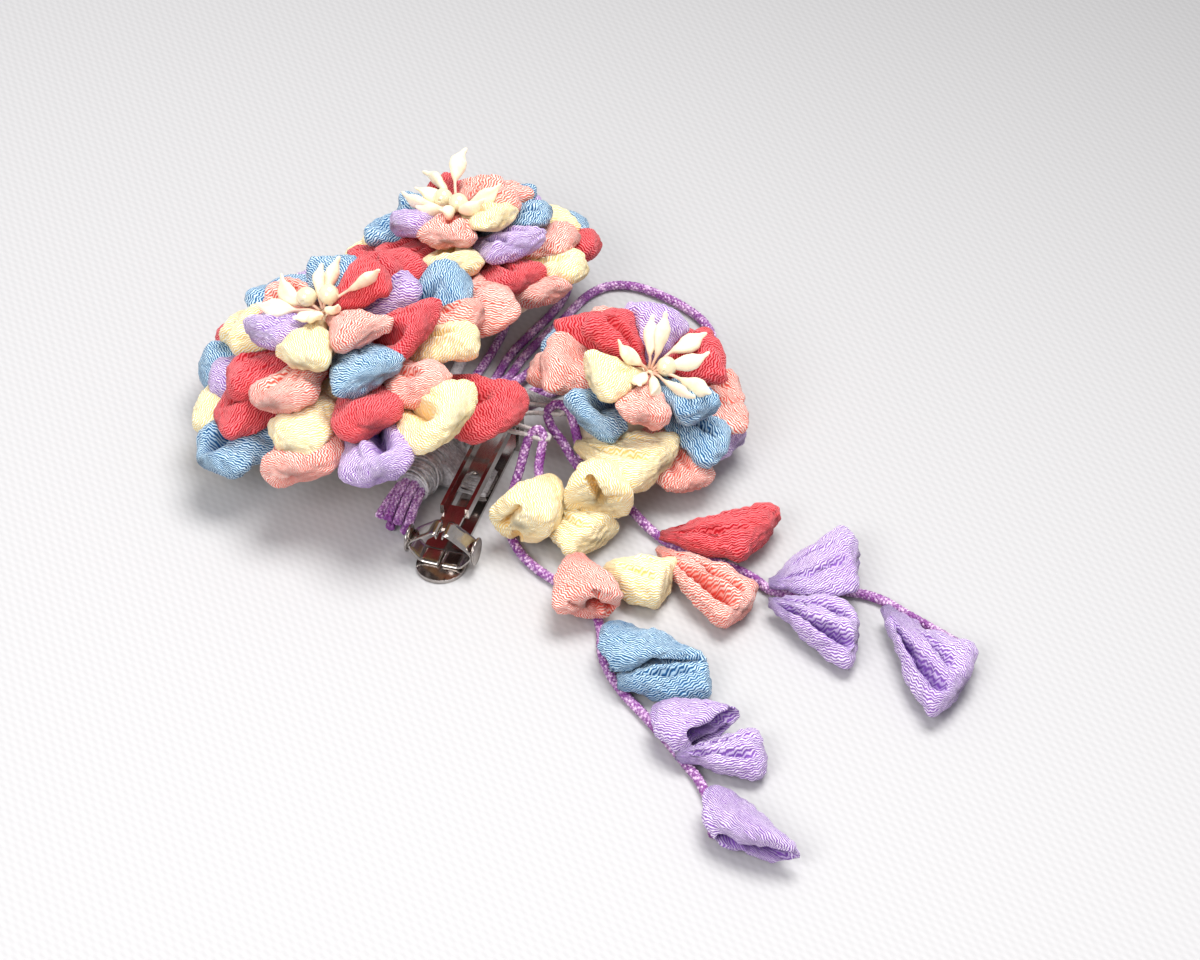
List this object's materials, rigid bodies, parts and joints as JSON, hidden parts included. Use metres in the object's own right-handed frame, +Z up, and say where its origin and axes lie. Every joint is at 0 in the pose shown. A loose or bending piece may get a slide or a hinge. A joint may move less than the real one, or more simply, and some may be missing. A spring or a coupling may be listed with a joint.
{
  "type": "kanzashi barrette",
  "caption": "Hair barrette with folded crepe-cloth flowers on a steel spring clip and two hanging cords of petals.",
  "frame": {"origin": "under the middle of the box round the clip and flowers, on the surface it lies on; the hanging cords aren't counted in that box", "axes": "+Z up, the clip's long side along Y with its clasp towards -Y, the cords of petals spreading towards +X and -Y"},
  "size_m": [0.1571, 0.154, 0.0385],
  "materials": {
    "steel": "plain nickel-plated sheet",
    "felt": "beige felt pad",
    "thread": "grey wound thread",
    "cord": "purple braided cord",
    "paper": "paper-wrapped wire",
    "pearl": "pale pearl bead",
    "stamen": "stiffened thread",
    "crepe_coral": "crepe cloth",
    "crepe_salmon": "crepe cloth",
    "crepe_cream": "crepe cloth",
    "crepe_lavender": "crepe cloth",
    "crepe_blue": "crepe cloth"
  },
  "bodies": {
    "clip": {"clip_plate": "steel", "clip_hinge_pin": "steel", "clip_clasp": "steel", "thread_wrap": "thread", "cord_tails": "cord", "cord_loop_1": "cord", "cord_loop_2": "cord", "cord_loop_3": "cord", "hanger_wire_1": "paper", "hanger_wire_2": "paper", "string_1_cord": "cord", "string_2_cord": "cord", "flower_a_base": "felt", "flower_a_stem": "thread", "flower_a_stamens": "stamen", "flower_a_pearls": "pearl", "flower_b_base": "felt", "flower_b_stem": "thread", "flower_b_stamens": "stamen", "flower_b_pearls": "pearl", "flower_c_base": "felt", "flower_c_stem": "thread", "flower_c_stamens": "stamen", "flower_c_pearls": "pearl", "flower_a_petals_coral": "crepe_coral", "flower_a_petals_salmon": "crepe_salmon", "flower_a_petals_cream": "crepe_cream", "flower_a_petals_lavender": "crepe_lavender", "flower_a_petals_blue": "crepe_blue", "flower_b_petals_coral": "crepe_coral", "flower_b_petals_salmon": "crepe_salmon", "flower_b_petals_cream": "crepe_cream", "flower_b_petals_lavender": "crepe_lavender", "flower_b_petals_blue": "crepe_blue", "flower_c_petals_coral": "crepe_coral", "flower_c_petals_salmon": "crepe_salmon", "flower_c_petals_cream": "crepe_cream", "flower_c_petals_lavender": "crepe_lavender", "flower_c_petals_blue": "crepe_blue", "string_1_petal_1": "crepe_cream", "string_1_petal_2": "crepe_cream", "string_1_petal_3": "crepe_salmon", "string_1_petal_4": "crepe_cream", "string_1_petal_5": "crepe_blue", "string_1_petal_6": "crepe_blue", "string_1_petal_7": "crepe_lavender", "string_1_petal_8": "crepe_lavender", "string_1_petal_9": "crepe_lavender", "string_2_petal_1": "crepe_cream", "string_2_petal_2": "crepe_cream", "string_2_petal_3": "crepe_coral", "string_2_petal_4": "crepe_salmon", "string_2_petal_5": "crepe_lavender", "string_2_petal_6": "crepe_lavender", "string_2_petal_7": "crepe_lavender"},
    "arm": {"clip_arm": "steel"}
  },
  "joints": [
    {"name": "arm_hinge", "type": "hinge", "parent": "clip", "child": "arm", "pos_m": [0.007, -0.0106, 0.0064], "axis": [-1, 0, 0], "range_deg": [0, 18], "deforming": ["clip_clasp"]}
  ]
}
